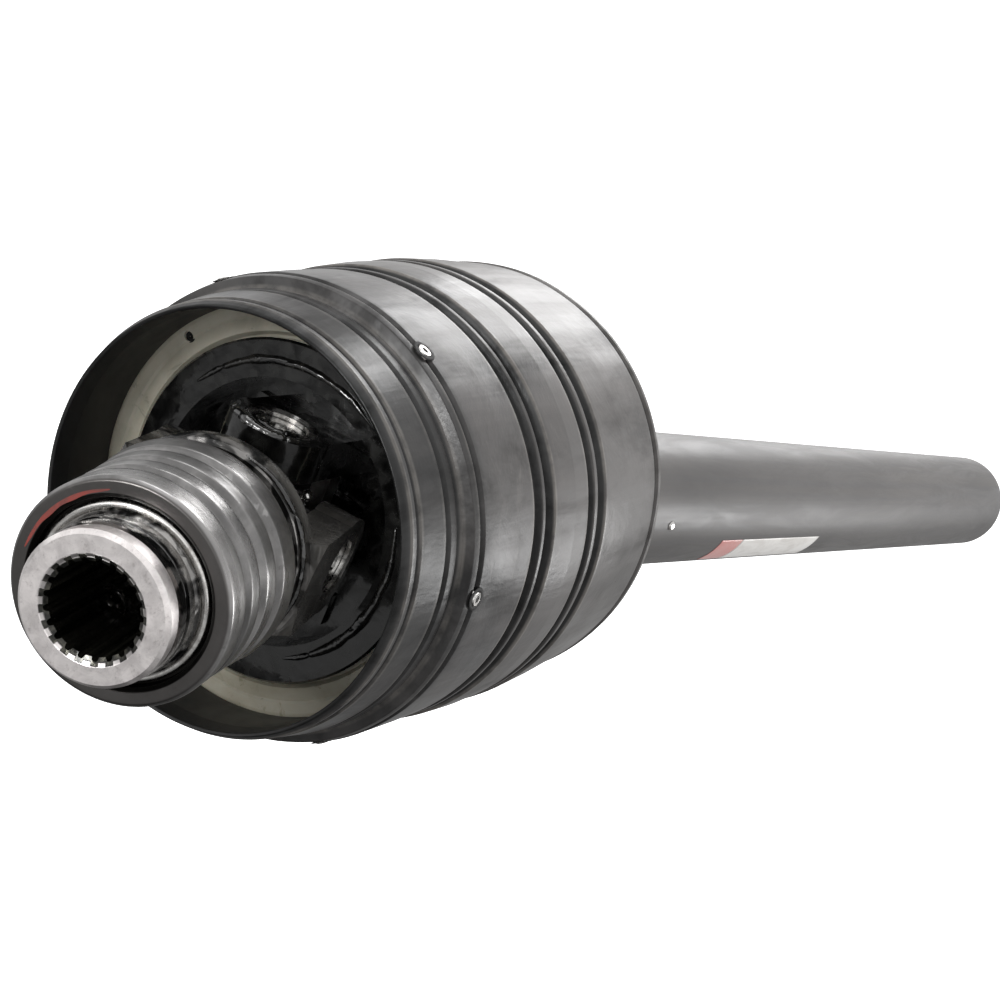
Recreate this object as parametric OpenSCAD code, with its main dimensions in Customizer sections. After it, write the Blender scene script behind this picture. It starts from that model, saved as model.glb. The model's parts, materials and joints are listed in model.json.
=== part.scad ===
// Tractor driveline half with a wide-angle constant-velocity joint.
// The drive shaft lies along X. Its open end is at the origin and the splined yoke is at the far end.
// The joint bends about Z, and is drawn bent by rest_bend at each of its two crosses.

/* [Joint] */
// Bend of each half of the joint as drawn, degrees
rest_bend = 14; // [0:1:20]
// Distance between the two cross centres
cross_gap = 80; // [78:0.5:82]
// Distance from the shaft's open end to the rear cross centre
joint_x = 800; // [300:5:1200]

/* [Crosses and bearings] */
// Radius of a trunnion's bearing part
trunnion_r = 9; // [8.9:0.05:9]
// Distance from a cross centre to a trunnion's end
trunnion_end = 38; // [37:0.5:38]
// Outer radius of a bearing cup
cup_r = 15.08; // [14.9:0.02:15.08]
// Radius of a needle roller
needle_r = 1.75; // [1.6:0.05:1.75]
// Needle rollers in each cup
needle_count = 18; // [12:1:18]

/* [Splined yoke] */
// Distance from the front cross centre to the nose face
nose_x = 120; // [112:1:126]
// Outer radius of the nose
nose_r = 26.7; // [25:0.1:27.5]
// Number of spline grooves
spline_count = 21; // [21:1:21]
// Radius over the spline's inner tips
spline_tip_r = 16.1; // [16:0.05:16.3]
// Radius to the spline's groove bottoms
spline_root_r = 17.5; // [17.4:0.05:17.8]
// Length of the splined part of the bore
spline_length = 62; // [40:1:66]

/* [Slide collar] */
// Outer radius of the collar's front band
collar_r = 40; // [37:0.5:41]
// Front face of the collar from the front cross centre
collar_front = 103; // [102:0.5:104]
// Back end of the collar from the front cross centre
collar_back = 52; // [52:0.5:56]
// Distance that the collar pulls back
collar_travel = 9; // [8:0.5:9]
// Radius of a locking ball
ball_r = 6.5; // [6.4:0.05:6.5]

/* [Guard] */
// Outer radius of the guard tube
guard_r = 40; // [39.5:0.5:41]
// Wall of the guard tube
guard_wall = 2.8; // [2:0.1:2.9]
// Outer radius of the bell's front rim
bell_front_r = 86.5; // [84:0.5:88]
// Outer radius of the bell's widest band
bell_back_r = 109; // [108:0.5:112]
// Wall of the bell
bell_wall = 3.5; // [2.5:0.1:4]
// Front rim of the bell from the rear cross centre
bell_front = 100; // [98:1:102]
// Back rim of the bell behind the rear cross centre
bell_back = 115; // [100:1:116]
// Number of screws that hold the bell on its ring
screw_count = 6; // [3:1:6]

/* [Label] */
// Front edge of the label behind the rear cross centre
label_start = 297; // [200:1:500]
// Length of the label
label_length = 140; // [60:5:200]

/* [Hidden] */
$fn = 96;
eps = 0.01;
run_gap = 0.05;
bend = rest_bend;
ball_reach = 33;
socket_ball_r = 6.5;
socket_play = 0.5;
ear_in = 27;
ear_out = 43.5;
ear_r = 21;
cup_in = 24;
cup_out = 40.8;
needle_pitch_r = trunnion_r + run_gap + needle_r;
cup_bore_r = needle_pitch_r + needle_r + run_gap;
bore_r = cup_r + 0.02;
circlip_x = 41;
circlip_t = 1.7;
seal_t = 2.4;
fork_face = 44;
hub_r = 36;
hub_back = 120;
pocket_back = 68;
pin_x = 108;
pin_r = 5;
groove_front = 84;
groove_back = 92;
groove_r = 33;
profile_r = 22;
profile_corner = 10;
profile_wall = 4;
guard_front = 80;
guard_over = 8;
guard_in_r = guard_r - guard_wall;
shell_r = 72;
shell_in_r = 56;
shell_x0 = 16;
shell_x1 = 64;
ring_x0 = 50;
ring_x1 = 58;
ring_groove_r = 68;
web_x0 = 36;
web_x1 = 44;
mid_x = cross_gap / 2;
plate_y = 19;
plate_z = 27;
slot_y = 11.5;
slot_z = 21.2;
window_y = 31;
window_z = 24;
disc_r = 12.5;
disc_x0 = mid_x - 11.5;
disc_x1 = mid_x + 11.5;
shoulder_x = 42;
shoulder_r = 40;
body_r = 28.5;
lock_x = 78;
ball_out = 1.7;
ball_centre = 22.65;
recess_r = ball_centre + ball_out + ball_r + 0.5;
land_r = ball_centre + ball_r + 0.3;
stop_ring_x = 99.7;
stop_ring_r = 29.9;
stop_wire_r = 1.7;
spring_seat_x = 45;
spring_x1 = 70;
spring_pitch_r = 31.2;
spring_wire_r = 1.5;
spring_turns = 4;
bell_step_x = 62.5;
screw_angle = 9;
screw_s = 59;
screw_seat_r = 96.2;
screw_well_r = 4.3;
label_angle = 101;
label_span = 32;
rivet_x = 224;
rivet_angle = 6;
mark_angle = 144.5;
nipple_y = 22.2;

steel = [0.10, 0.10, 0.105];
bright = [0.62, 0.61, 0.60];
black = [0.08, 0.08, 0.085];
grey = [0.30, 0.31, 0.33];
cream = [0.58, 0.55, 0.47];

// Node names, one per separate piece

// Frames: each puts its children's +X along one member's axis

module shaft_frame() {
  translate([joint_x, 0, 0]) children();
}

module housing_frame() {
  shaft_frame() rotate([0, 0, bend]) children();
}

module nose_frame() {
  housing_frame() translate([cross_gap, 0, 0]) rotate([0, 0, bend]) children();
}

// Shared shapes

// A cylinder along X from x0 to x1
module bar_x(x0, x1, r, r2 = undef) {
  translate([x0, 0, 0]) rotate([0, 90, 0]) cylinder(h = x1 - x0, r1 = r, r2 = is_undef(r2) ? r : r2);
}

// A ring along X
module ring_x(x0, x1, r_out, r_in) {
  difference() {
    bar_x(x0, x1, r_out);
    bar_x(x0 - 1, x1 + 1, r_in);
  }
}

// A turned shape: points are [x, r]
module turned(points) {
  rotate([0, 90, 0]) rotate_extrude() polygon([for (p = points) [p[1], p[0]]]);
}

// A cylinder along Y, on the +Y side
module bar_y(y0, y1, r) {
  translate([0, y0, 0]) rotate([-90, 0, 0]) cylinder(h = y1 - y0, r = r);
}

// Puts its children on both Y sides
module both_y() {
  children();
  rotate([180, 0, 0]) children();
}

// Turns the Y axis onto the Z axis
module y_to_z() {
  rotate([90, 0, 0]) children();
}

// Two fork ears about the Y axis with an arm towards -X as far as arm_x
module fork_ears(arm_x) {
  both_y() {
    bar_y(ear_in, ear_out, ear_r);
    translate([-arm_x, ear_in, -ear_r + 1]) cube([arm_x, ear_out - ear_in, 2 * ear_r - 2]);
  }
}

// Everything bored out of two ears: cup bores and circlip grooves
module fork_bores() {
  both_y() {
    bar_y(ear_in - 8, ear_out + 1, bore_r);
    bar_y(circlip_x - run_gap, circlip_x + circlip_t + run_gap, bore_r + 1);
  }
}

// The bridge and ball that reach past a cross into the centring disc
module ball_arm() {
  translate([17, -ear_in - 2, -7]) cube([5.5, 2 * ear_in + 4, 14]);
  bar_x(20, ball_reach, 4);
  translate([ball_reach, 0, 0]) sphere(r = socket_ball_r);
}

// Two bearing cups about the Y axis
module cup_pair() {
  both_y() difference() {
    bar_y(cup_in, cup_out, cup_r);
    bar_y(cup_in - 1, trunnion_end + 0.3, cup_bore_r);
    translate([0, cup_out, 0]) rotate([-90, 0, 0]) cylinder(h = 2, r = 5, center = true);
  }
}

// Needle rollers of two cups
module needle_pair() {
  both_y() for (i = [0 : needle_count - 1])
    rotate([0, i * 360 / needle_count, 0])
      translate([needle_pitch_r, 0, 0]) bar_y(cup_in + 1, trunnion_end - 0.5, needle_r, $fn = 24);
}

// Two spring clips that close the ear bores
module circlip_pair() {
  both_y() difference() {
    bar_y(circlip_x, circlip_x + circlip_t, bore_r + 0.9);
    bar_y(circlip_x - 1, circlip_x + circlip_t + 1, 12);
    translate([9, circlip_x - 1, -4]) cube([10, circlip_t + 2, 8]);
  }
}

// A cross with trunnions along Y and Z
module cross_body() {
  difference() {
    union() {
      sphere(r = 15.5);
      for (a = [0, 90]) rotate([a, 0, 0]) both_y() {
        bar_y(0, 21, 12.8);
        bar_y(20, trunnion_end, trunnion_r);
      }
    }
    rotate([45, 0, 0]) bar_y(12, 24, 2.6 + eps);
    for (a = [0, 90]) rotate([a, 0, 0]) both_y() bar_y(-1, trunnion_end + 1, 2);
  }
}

module cross_seals() {
  for (a = [0, 90]) rotate([a, 0, 0]) both_y() difference() {
    bar_y(21 + run_gap, 21 + seal_t, 13.6);
    bar_y(20, 25, trunnion_r + eps);
  }
}

// A grease nipple whose foot is at the origin, standing along +Y
module nipple(foot) {
  difference() {
    union() {
      bar_y(-foot, 1, 2.6);
      translate([0, 0.8, 0]) rotate([-90, 0, 0]) cylinder(h = 3.2, r = 4, $fn = 6);
      bar_y(3.6, 6.4, 2.1);
      translate([0, 7, 0]) sphere(r = 2.6);
    }
    bar_y(5, 11, 0.7);
  }
}

// Rounded three-lobed section of the drive tube
module lobed_section(corner_r) {
  flat_r = corner_r - 0.1;
  for (a = [0, 120, 240]) rotate(a) translate([profile_r, 0]) circle(r = corner_r);
  polygon([for (a = [0, 120, 240]) each [
    [profile_r * cos(a) + flat_r * cos(a - 60), profile_r * sin(a) + flat_r * sin(a - 60)],
    [profile_r * cos(a) + flat_r * cos(a + 60), profile_r * sin(a) + flat_r * sin(a + 60)]
  ]]);
}

// The three-lobed section as a bar along X
module lobed_bar(x0, x1, corner_r) {
  translate([x0, 0, 0]) rotate([90, 0, 90]) linear_extrude(height = x1 - x0) lobed_section(corner_r);
}

// Drive shaft

module drive_tube() {
  color(steel) difference() {
    lobed_bar(0, joint_x - pocket_back, profile_corner);
    lobed_bar(-1, joint_x - pocket_back + 1, profile_corner - profile_wall);
    translate([joint_x - pin_x, 0, 0]) rotate([90, 0, 0]) cylinder(h = 90, r = pin_r, center = true);
  }
}

module rear_yoke() {
  color(steel) shaft_frame() difference() {
    union() {
      turned([
        [-hub_back, 0], [-hub_back, hub_r - 2], [-hub_back + 2, hub_r], [-groove_back, hub_r],
        [-groove_back, groove_r], [-groove_front, groove_r], [-groove_front, hub_r], [-62, hub_r],
        [-54, shoulder_r + 3], [-fork_face, shoulder_r + 3], [-fork_face, 0]
      ]);
      intersection() {
        fork_ears(fork_face + 4);
        turned([[-60, 0], [-60, 44], [-40, 50], [30, 50], [30, 0]]);
      }
      ball_arm();
    }
    fork_bores();
    lobed_bar(-hub_back - 1, -pocket_back, profile_corner + run_gap);
    translate([-pin_x, 0, 0]) rotate([90, 0, 0]) cylinder(h = 90, r = pin_r, center = true);
  }
}

module roll_pin() {
  color(bright) shaft_frame() translate([-pin_x, 0, 0]) difference() {
    rotate([90, 0, 0]) cylinder(h = 2 * hub_r - 2, r = pin_r - eps, center = true);
    rotate([90, 0, 0]) cylinder(h = 90, r = pin_r - 1.8, center = true);
    translate([0, -45, -0.8]) cube([pin_r + 1, 90, 1.6]);
  }
}

module rear_yoke_cups() {
  color(bright) shaft_frame() cup_pair();
}

module rear_yoke_needles() {
  color(bright) shaft_frame() needle_pair();
}

module rear_yoke_circlips() {
  color(bright) shaft_frame() circlip_pair();
}

// Rear cross

module rear_cross() {
  color(steel) shaft_frame() cross_body();
}

module rear_cross_seals() {
  color(black) shaft_frame() cross_seals();
}

module rear_cross_nipple() {
  color(bright) shaft_frame() rotate([45, 0, 0]) translate([0, nipple_y, 0]) nipple(nipple_y - 12.4);
}

// Centre housing with its centring parts

// The window and grooves that the centring slide runs in
module slide_window() {
  translate([mid_x - 20, -window_y, -window_z]) cube([40, 2 * window_y, 2 * window_z]);
  translate([web_x0 - run_gap, -window_y, -plate_z - run_gap])
    cube([web_x1 - web_x0 + 2 * run_gap, 2 * window_y, 2 * plate_z + 2 * run_gap]);
}

module centre_housing() {
  color(steel) housing_frame() difference() {
    union() {
      turned([
        [shell_x0, shell_in_r], [shell_x0, shell_r - 7], [shell_x0 + 10, shell_r], [ring_x0, shell_r],
        [ring_x0, ring_groove_r], [ring_x1, ring_groove_r], [ring_x1, shell_r], [shell_x1 - 1, shell_r],
        [shell_x1, shell_r - 1], [shell_x1, shell_in_r]
      ]);
      bar_x(web_x0, web_x1, shell_in_r + 2);
      for (side = [-1, 1]) translate([mid_x - 7, -window_y - 3, side * 31 - 7])
        cube([14, 2 * window_y + 6, 14]);
      intersection() {
        y_to_z() rotate([0, 180, 0]) fork_ears(mid_x);
        bar_x(-40, 60, 49);
      }
      intersection() {
        translate([cross_gap, 0, 0]) y_to_z() fork_ears(mid_x);
        bar_x(20, 120, 49);
      }
    }
    slide_window();
    y_to_z() fork_bores();
    translate([cross_gap, 0, 0]) y_to_z() fork_bores();
    translate([mid_x, 0, 0]) rotate([55, 0, 0]) bar_y(50, 80, 2.6);
  }
}

module housing_cups() {
  color(bright) housing_frame() for (x = [0, cross_gap]) translate([x, 0, 0]) y_to_z() cup_pair();
}

module housing_needles() {
  color(bright) housing_frame() for (x = [0, cross_gap]) translate([x, 0, 0]) y_to_z() needle_pair();
}

module housing_circlips() {
  color(bright) housing_frame() for (x = [0, cross_gap]) translate([x, 0, 0]) y_to_z() circlip_pair();
}

module housing_nipple() {
  color(bright) housing_frame() translate([mid_x, 0, 0]) rotate([55, 0, 0]) translate([0, shell_r, 0]) nipple(5);
}

// Sideways shift of the two centring balls at the drawn bend
module shifted_frame() {
  housing_frame() translate([0, -ball_reach * sin(bend), 0]) children();
}

module centring_slide() {
  color(bright) shifted_frame() difference() {
    translate([web_x0, -plate_y, -plate_z]) cube([web_x1 - web_x0, 2 * plate_y, 2 * plate_z]);
    translate([web_x0 - 1, -slot_y, -slot_z]) cube([web_x1 - web_x0 + 2, 2 * slot_y, 2 * slot_z]);
  }
}

module centring_disc() {
  color(bright) shifted_frame() difference() {
    bar_x(disc_x0, disc_x1, disc_r);
    bar_x(disc_x0 - 1, disc_x1 + 1, socket_ball_r + socket_play);
    for (side = [-1, 1]) translate([web_x0 - run_gap, side * (slot_y - run_gap + 5) - 5, -20])
      cube([web_x1 - web_x0 + 2 * run_gap, 10, 40]);
  }
}

// Front cross

module front_cross() {
  color(steel) nose_frame() cross_body();
}

module front_cross_seals() {
  color(black) nose_frame() cross_seals();
}

module front_cross_nipple() {
  color(bright) nose_frame() rotate([45, 0, 0]) translate([0, nipple_y, 0]) nipple(nipple_y - 12.4);
}

// Splined yoke with its slide collar

// Turns a shape drawn for the rear yoke round to face the other way
module turned_round() {
  rotate([0, 0, 180]) children();
}

module spline_bore() {
  bar_x(shoulder_x - 20, nose_x + 1, spline_tip_r);
  bar_x(shoulder_x - 20, nose_x - spline_length, spline_root_r + 0.6);
  bar_x(nose_x - 1.6, nose_x + eps, spline_tip_r, spline_root_r + 1.6);
  for (i = [0 : spline_count - 1]) rotate([i * 360 / spline_count, 0, 0])
    translate([nose_x - spline_length - 1, 0, 0]) rotate([90, 0, 90]) linear_extrude(height = spline_length + 2)
      polygon([
        [spline_tip_r - 1, -1.55], [spline_root_r - 0.5, -1.05], [spline_root_r, -0.6],
        [spline_root_r, 0.6], [spline_root_r - 0.5, 1.05], [spline_tip_r - 1, 1.55]
      ]);
}

module splined_yoke() {
  color(steel) nose_frame() difference() {
    union() {
      turned([
        [shoulder_x - 8, 0], [shoulder_x - 8, shoulder_r + 2], [shoulder_x - 4, shoulder_r + 2],
        [shoulder_x - 1, shoulder_r + 1], [shoulder_x, shoulder_r - 1], [shoulder_x, body_r],
        [stop_ring_x - 2, body_r], [stop_ring_x + 2, body_r], [stop_ring_x + 3.5, body_r - 1],
        [107, body_r - 1], [107, body_r - 2.6], [109, body_r - 2.6], [109, body_r - 1.2],
        [112, body_r - 1.2], [112, nose_r - 1.6], [113.5, nose_r - 1.6], [113.5, nose_r],
        [nose_x - 1.5, nose_r], [nose_x, nose_r - 1.5], [nose_x, 0]
      ]);
      turned_round() intersection() {
        fork_ears(fork_face - 4);
        turned([[-42, 0], [-42, shoulder_r + 2], [-30, 50], [30, 50], [30, 0]]);
      }
      turned_round() ball_arm();
    }
    turned_round() fork_bores();
    spline_bore();
    rotate([0, 90, 0]) translate([0, 0, stop_ring_x]) rotate_extrude()
      translate([stop_ring_r, 0]) circle(r = stop_wire_r + eps, $fn = 32);
    for (i = [0 : 2]) rotate([i * 120, 0, 0]) translate([lock_x, 0, 0]) bar_y(10, 30, ball_r + run_gap);
  }
}

module front_yoke_cups() {
  color(bright) nose_frame() cup_pair();
}

module front_yoke_needles() {
  color(bright) nose_frame() needle_pair();
}

module front_yoke_circlips() {
  color(bright) nose_frame() circlip_pair();
}

module collar_stop_ring() {
  color(bright) nose_frame() difference() {
    rotate([0, 90, 0]) translate([0, 0, stop_ring_x]) rotate_extrude()
      translate([stop_ring_r, 0]) circle(r = stop_wire_r, $fn = 32);
    rotate([200, 0, 0]) translate([stop_ring_x - 4, 20, -3]) cube([8, 20, 6]);
  }
}

module spring_seat() {
  color(bright) nose_frame() ring_x(shoulder_x + eps, spring_seat_x, 33, body_r + eps);
}

// Section of the spring's coil, cut square to its axis
module coil_section(pitch) {
  half = 360 * spring_wire_r / pitch;
  steps = 10;
  outer = [for (i = [-steps : steps]) let (a = half * i / steps)
    (spring_pitch_r + spring_wire_r * sqrt(1 - pow(i / steps, 2))) * [cos(a), sin(a)]];
  inner = [for (i = [steps - 1 : -1 : 1 - steps]) let (a = half * i / steps)
    (spring_pitch_r - spring_wire_r * sqrt(1 - pow(i / steps, 2))) * [cos(a), sin(a)]];
  polygon(concat(outer, inner));
}

module collar_spring() {
  height = spring_x1 - spring_seat_x - 0.4;
  color(steel) nose_frame() translate([spring_seat_x + 0.2, 0, 0]) rotate([0, 90, 0])
    linear_extrude(height = height, twist = -360 * spring_turns, slices = spring_turns * 24, $fn = 38)
      coil_section(height / spring_turns);
}

module slide_collar() {
  color(steel) nose_frame() turned([
    [collar_front, 34.2], [collar_front, collar_r - 1.5], [collar_front - 1.5, collar_r],
    [92, collar_r + 0.3], [91, collar_r - 1.8], [88.5, collar_r - 1.7], [87, collar_r + 0.4],
    [81, collar_r + 0.9], [79.5, collar_r - 1.2], [77, collar_r - 1.1], [75.5, collar_r + 1.1],
    [69, collar_r + 1.8], [67.5, collar_r - 0.3], [65, collar_r - 0.2], [63.5, collar_r + 2.2],
    [55, collar_r + 3.4], [collar_back, collar_r + 1], [collar_back, 35.2], [spring_x1, 35.2],
    [spring_x1, land_r], [lock_x, land_r], [lock_x + collar_travel, recess_r],
    [93.6, recess_r], [93.6, 29.4], [stop_ring_x - stop_wire_r - 0.1, 29.4],
    [stop_ring_x - stop_wire_r - 0.1, 32.8], [collar_front - 1.2, 32.8]
  ]);
}

module lock_ball(i) {
  color(bright) nose_frame() rotate([i * 120, 0, 0]) translate([lock_x, ball_centre, 0]) sphere(r = ball_r);
}

module lock_ball_1() {
  lock_ball(0);
}

module lock_ball_2() {
  lock_ball(1);
}

module lock_ball_3() {
  lock_ball(2);
}

// Guard

module guard_tube() {
  color(grey) difference() {
    ring_x(-guard_over, joint_x - guard_front, guard_r, guard_in_r);
    translate([joint_x - rivet_x, 0, 0]) rotate([rivet_angle, 0, 0]) bar_y(30, 50, 1.52);
  }
}

module guard_bearing() {
  color(cream) shaft_frame() turned([
    [-groove_back + 0.3, groove_r + 0.1], [-groove_front - 0.3, groove_r + 0.1],
    [-groove_front - 0.3, guard_in_r - eps], [-groove_back + 0.3, guard_in_r - eps]
  ]);
}

module label() {
  color([0.85, 0.83, 0.80]) translate([joint_x - label_start, 0, 0]) rotate([0, -90, 0])
    rotate([0, 0, label_angle]) rotate_extrude(angle = label_span)
      translate([guard_r + eps, 0]) square([0.25, label_length]);
}

module tube_rivet() {
  color(bright) translate([joint_x - rivet_x, 0, 0]) rotate([rivet_angle, 0, 0]) {
    bar_y(guard_in_r - 0.6, guard_r + 0.4, 1.5);
    translate([0, guard_r + 0.3, 0]) rotate([-90, 0, 0]) cylinder(h = 1.1, r1 = 2.8, r2 = 1.7);
  }
}

// Bell profile: x from the rear cross centre, then the outer radius
bell_profile = [
  [bell_front - 2, bell_front_r - 1.5], [bell_front - 4, bell_front_r], [bell_front - 7, bell_front_r],
  [bell_front - 8, bell_front_r - 0.8], [bell_front - 9, 87.4], [77, 90.2], [75, 88.8], [73.5, 90.5],
  [69.8, 91.2], [68.3, 89.6], [66.3, 91.6], [65.2, 96.2], [62, 97.2], [60.8, 96], [59.2, 98],
  [36, 99.8], [19, 100.7], [17, 97.9], [13.4, 98.1], [12.2, 101.4], [9.8, 101.8], [8.6, 98.6], [5.4, 98.9],
  [3.8, 103.6], [-14, 105.6], [-26.8, 106.3], [-28.6, 103.2], [-32, 103.4], [-33.2, 106.8], [-36.4, 107],
  [-37.8, 103.4], [-41.6, 103.6], [-43.5, bell_back_r - 0.8], [-70, bell_back_r], [-bell_back + 8, bell_back_r],
  [-bell_back + 6, bell_back_r - 1.6], [-bell_back + 4, bell_back_r + 0.6], [-bell_back + 1, bell_back_r + 0.6],
  [-bell_back, bell_back_r - 0.5]
];

module bell() {
  color(black) housing_frame() difference() {
    turned(concat(bell_profile, [
      [-bell_back, bell_back_r - bell_wall - 1], [-48, bell_back_r - bell_wall - 1.9], [-43, 99.8],
      [4, 94.9], [17, 94.2], [44, 94.4], [bell_step_x, 93.4], [bell_step_x, 86], [90, bell_front_r - bell_wall],
      [bell_front - 0.6, bell_front_r - bell_wall], [bell_front, bell_front_r - bell_wall + 0.8],
      [bell_front, bell_front_r - 2.2]
    ]));
    for (i = [0 : screw_count - 1]) rotate([screw_angle + i * 360 / screw_count, 0, 0])
      translate([screw_s, 0, 0]) {
        bar_y(88, 104, 2.2);
        bar_y(screw_seat_r, 104, screw_well_r);
      }
  }
}

module bell_bearing() {
  color(cream) housing_frame() difference() {
    turned([
      [ring_x0 + 0.2, ring_groove_r + 0.25], [ring_x1 - 0.2, ring_groove_r + 0.25],
      [ring_x1 - 0.2, 73], [60.6, 74.5], [60.6, 80], [61.4, 81], [bell_step_x - 0.2, 85], [bell_step_x - 0.2, 93.3],
      [46, 94.1], [46, 88], [ring_x0 + 0.2, 86]
    ]);
    for (i = [0 : screw_count - 1]) rotate([screw_angle + i * 360 / screw_count, 0, 0])
      translate([screw_s, 0, 0]) bar_y(84, 104, 1.75);
    rotate([mark_angle, 0, 0]) translate([0, 82, 0]) bar_x(40, 70, 2.1);
  }
}

module bell_screws() {
  color(bright) housing_frame() for (i = [0 : screw_count - 1])
    rotate([screw_angle + i * 360 / screw_count, 0, 0]) translate([screw_s, 0, 0]) difference() {
      union() {
        bar_y(85, screw_seat_r + 0.5, 1.7, $fn = 24);
        translate([0, screw_seat_r + eps, 0]) rotate([-90, 0, 0]) cylinder(h = 2.2, r1 = 3.5, r2 = 2.8, $fn = 32);
      }
      translate([0, screw_seat_r + 1.2, 0]) rotate([-90, 0, 0]) cylinder(h = 3, r = 1.6, $fn = 6);
    }
}

// Only these lines draw

drive_tube();
rear_yoke();
roll_pin();
rear_yoke_cups();
rear_yoke_needles();
rear_yoke_circlips();
rear_cross();
rear_cross_seals();
rear_cross_nipple();
centre_housing();
housing_cups();
housing_needles();
housing_circlips();
housing_nipple();
centring_slide();
centring_disc();
front_cross();
front_cross_seals();
front_cross_nipple();
splined_yoke();
front_yoke_cups();
front_yoke_needles();
front_yoke_circlips();
collar_stop_ring();
spring_seat();
collar_spring();
slide_collar();
lock_ball_1();
lock_ball_2();
lock_ball_3();
guard_tube();
guard_bearing();
tube_rivet();
label();
bell();
bell_bearing();
bell_screws();
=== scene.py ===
import json
import math

import bmesh
import bpy
import numpy as np
from mathutils import Matrix, Vector, noise


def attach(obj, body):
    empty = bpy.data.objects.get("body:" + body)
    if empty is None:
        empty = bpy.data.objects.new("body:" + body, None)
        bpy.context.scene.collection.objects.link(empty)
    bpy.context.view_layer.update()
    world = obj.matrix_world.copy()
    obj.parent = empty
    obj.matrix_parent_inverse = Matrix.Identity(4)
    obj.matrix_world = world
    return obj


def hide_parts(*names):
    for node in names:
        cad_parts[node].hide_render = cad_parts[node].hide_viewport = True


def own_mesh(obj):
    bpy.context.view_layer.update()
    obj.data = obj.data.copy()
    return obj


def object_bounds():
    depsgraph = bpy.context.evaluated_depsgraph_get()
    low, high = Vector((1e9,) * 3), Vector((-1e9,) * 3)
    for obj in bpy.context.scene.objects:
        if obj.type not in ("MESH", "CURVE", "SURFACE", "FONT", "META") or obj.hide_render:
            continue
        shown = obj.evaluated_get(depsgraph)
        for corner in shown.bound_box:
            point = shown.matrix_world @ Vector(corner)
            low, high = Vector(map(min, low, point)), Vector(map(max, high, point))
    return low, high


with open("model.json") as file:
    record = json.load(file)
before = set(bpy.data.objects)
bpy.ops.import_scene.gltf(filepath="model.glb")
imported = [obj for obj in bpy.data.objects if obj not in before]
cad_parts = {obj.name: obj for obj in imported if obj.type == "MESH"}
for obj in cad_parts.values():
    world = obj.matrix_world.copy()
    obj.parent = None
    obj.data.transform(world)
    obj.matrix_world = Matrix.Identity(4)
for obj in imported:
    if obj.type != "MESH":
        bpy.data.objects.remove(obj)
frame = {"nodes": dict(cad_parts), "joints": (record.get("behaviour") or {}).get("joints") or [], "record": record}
bpy.context.view_layer.update()
cad_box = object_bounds()
nodes = frame["nodes"]
joints = {j["name"]: j for j in frame["joints"]}

MM = 0.001


# ---------------------------------------------------------------- places

def axis_place(origin, axis):
    """Matrix whose local X runs along axis, with local Z as near to up as it can be."""
    x = Vector(axis).normalized()
    y = Vector((0, 0, 1)).cross(x).normalized()
    m = Matrix((x, y, x.cross(y))).transposed().to_4x4()
    m.translation = Vector(origin)
    return m


rear_cross_at = joints["rear_bend"]["pos_m"]
front_cross_at = joints["front_bend"]["pos_m"]
nose_axis = -Vector(joints["collar_pull"]["axis"])
SHAFT = axis_place(rear_cross_at, (1, 0, 0))
HOUSING = axis_place(rear_cross_at, joints["bell_spin"]["axis"])
NOSE = axis_place(front_cross_at, nose_axis)


# ---------------------------------------------------------------- meshes

def mesh_piece(name, verts, faces, place, skin, body, smooth=True, stands_for=(), finish=None):
    """Makes a mesh from local millimetres, turns its faces outwards and makes it ride on a CAD body."""
    me = bpy.data.meshes.new(name)
    me.from_pydata([tuple(float(c) * MM for c in v) for v in verts], [], [tuple(f) for f in faces])
    me.transform(place)
    bm = bmesh.new()
    bm.from_mesh(me)
    bmesh.ops.recalc_face_normals(bm, faces=bm.faces)
    for f in bm.faces:
        f.smooth = smooth
    bm.to_mesh(me)
    bm.free()
    ob = bpy.data.objects.new(name, me)
    bpy.context.scene.collection.objects.link(ob)
    for s in skin if isinstance(skin, (list, tuple)) else [skin]:
        me.materials.append(s)
    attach(ob, body)
    if stands_for:
        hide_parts(*stands_for)
    return ob


def rounded(points, radius=0.5, steps=4, closed=True):
    """Rounds a polyline's corners. A point is (x, r) or (x, r, its own radius)."""
    out = []
    n = len(points)
    for i, p in enumerate(points):
        here = np.array(p[:2], float)
        if not closed and i in (0, n - 1):
            out.append(here)
            continue
        a = np.array(points[i - 1][:2], float) - here
        b = np.array(points[(i + 1) % n][:2], float) - here
        la, lb = np.linalg.norm(a), np.linalg.norm(b)
        want = p[2] if len(p) > 2 else radius
        turn = math.acos(max(-1.0, min(1.0, float(a @ b) / (la * lb))))
        cut = min(want / max(math.tan(turn / 2), 0.05), 0.46 * la, 0.46 * lb)
        if math.pi - turn < 0.05 or cut < 0.02:
            out.append(here)
            continue
        start, end = here + a / la * cut, here + b / lb * cut
        for k in range(steps + 1):
            t = k / steps
            out.append((1 - t) ** 2 * start + 2 * t * (1 - t) * here + t * t * end)
    return out


def divided(points, step, closed=True):
    """Adds points so that no segment is longer than step."""
    out = []
    n = len(points)
    for i in range(n if closed else n - 1):
        a, b = np.array(points[i], float), np.array(points[(i + 1) % n], float)
        parts = max(1, int(math.ceil(np.linalg.norm(b - a) / step)))
        out += [a + (b - a) * k / parts for k in range(parts)]
    if not closed:
        out.append(np.array(points[-1], float))
    return out


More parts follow.
